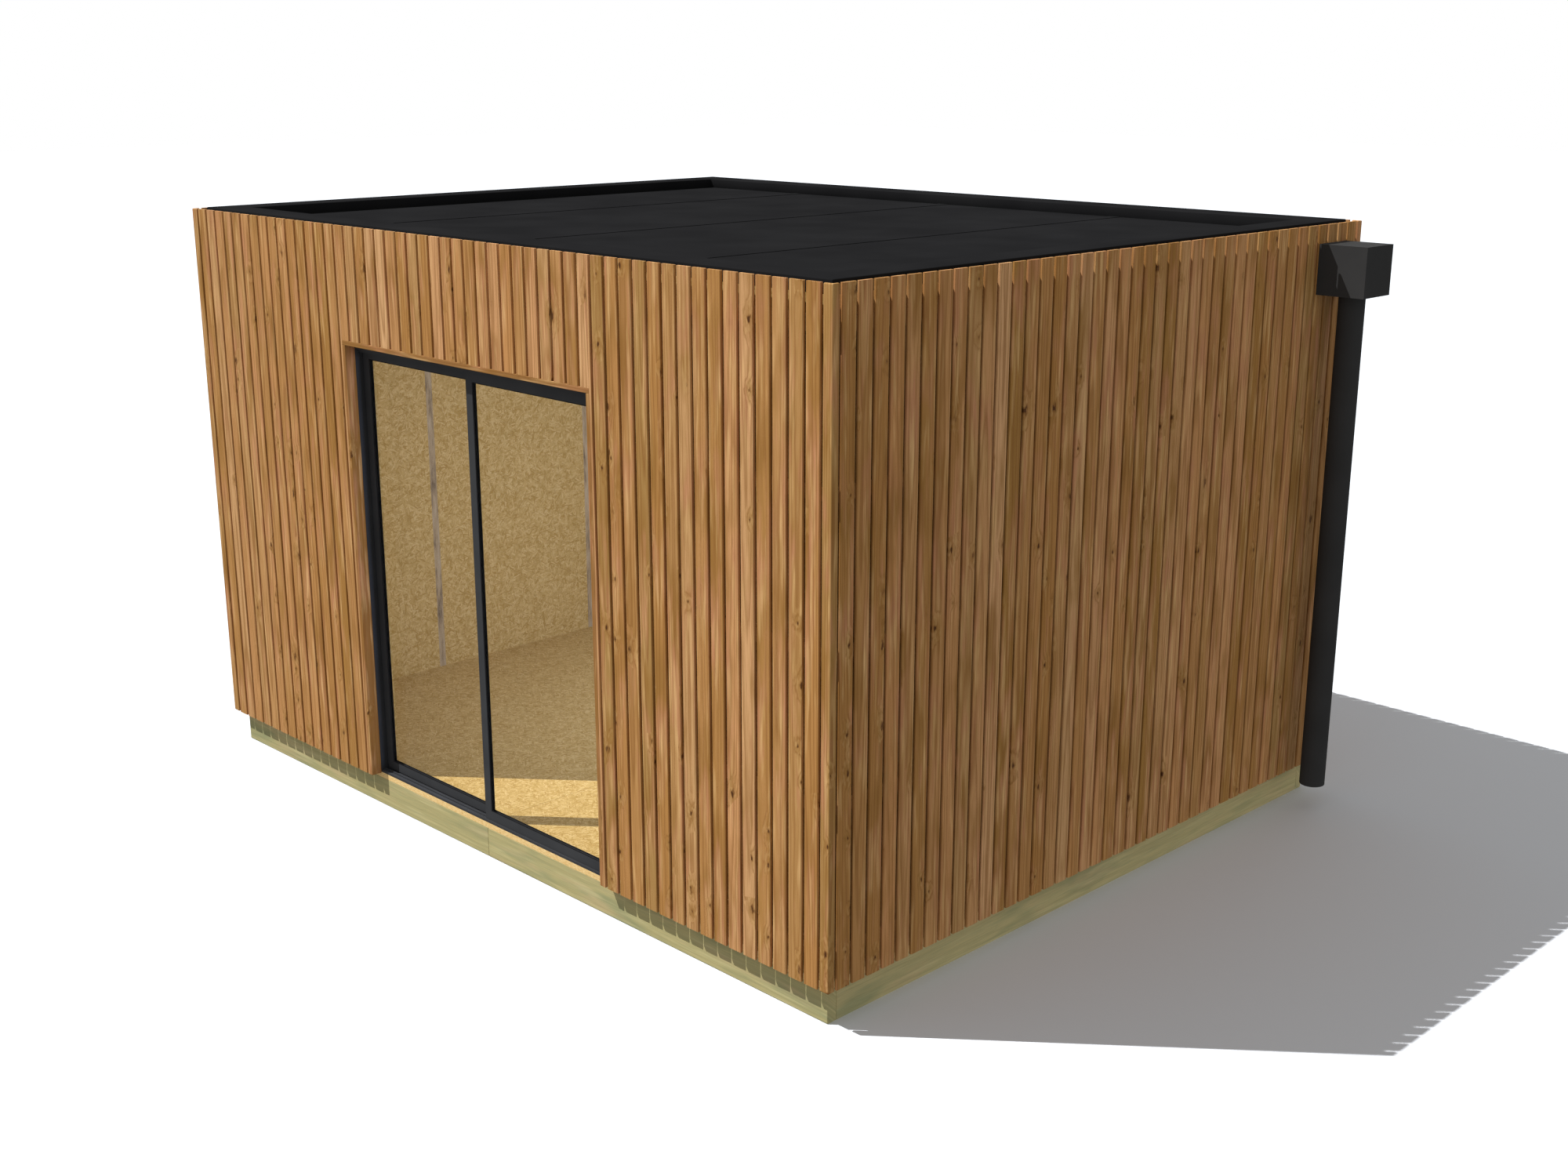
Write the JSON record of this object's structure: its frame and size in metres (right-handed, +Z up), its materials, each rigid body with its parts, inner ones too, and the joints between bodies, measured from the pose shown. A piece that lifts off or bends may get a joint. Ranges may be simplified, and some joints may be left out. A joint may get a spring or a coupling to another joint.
{
  "type": "garden annex",
  "caption": "Flat-roofed timber garden annex with upright open-joint cladding, a sliding glazed door, a treated timber base, and a box hopper with a downpipe.",
  "frame": {"origin": "on the ground at the middle of the base's underside", "axes": "+X to the right-hand side, +Y from the front to the rear, +Z up"},
  "size_m": [4.314, 3.241, 2.594],
  "materials": {
    "larch_boards": "planed and oiled",
    "larch_lining": "planed and oiled",
    "treated_timber": "sawn, pressure treated",
    "strand_board": "pressed strand board",
    "stud_timber": "planed, greyed",
    "batten_timber": "sawn",
    "rubber_membrane": "matt sheet",
    "black_aluminium": "powder coated, satin",
    "clear_glass": "clear",
    "nylon_glide": "moulded",
    "black_rainwater": "powder coated, matt"
  },
  "bodies": {
    "building": {"front_base_beam_left": "treated_timber", "front_base_beam_right": "treated_timber", "rear_base_beam": "treated_timber", "left_base_beam": "treated_timber", "right_base_beam": "treated_timber", "floor_joists": "treated_timber", "floor_deck": "strand_board", "front_wall_left": "strand_board", "front_wall_right": "strand_board", "front_wall_over_door": "strand_board", "left_wall": "strand_board", "right_wall": "strand_board", "rear_wall": "strand_board", "wall_panel_studs": "stud_timber", "roof_panel": "strand_board", "roof_membrane": "rubber_membrane", "front_roof_kerb": "rubber_membrane", "rear_roof_kerb": "rubber_membrane", "left_roof_kerb": "rubber_membrane", "right_roof_kerb": "rubber_membrane", "front_battens": "batten_timber", "rear_battens": "batten_timber", "left_battens": "batten_timber", "right_battens": "batten_timber", "front_cladding_left": "larch_boards", "front_cladding_right": "larch_boards", "front_cladding_over_door": "larch_boards", "rear_cladding": "larch_boards", "left_cladding": "larch_boards", "right_cladding": "larch_boards", "door_lining_left": "larch_lining", "door_lining_right": "larch_lining", "door_lining_head": "larch_lining", "door_jamb_left": "black_aluminium", "door_jamb_right": "black_aluminium", "door_head": "black_aluminium", "door_sill": "black_aluminium", "fixed_leaf_frame": "black_aluminium", "fixed_leaf_glass": "clear_glass", "rainwater_hopper": "black_rainwater", "hopper_lid": "black_rainwater", "downpipe": "black_rainwater"},
    "sliding_leaf": {"sliding_leaf_frame": "black_aluminium", "sliding_leaf_glass": "clear_glass", "sliding_leaf_glides": "nylon_glide"}
  },
  "joints": [
    {"name": "door_slide", "type": "slide", "parent": "building", "child": "sliding_leaf", "axis": [1, 0, 0], "range_m": [0, 0.817]}
  ]
}
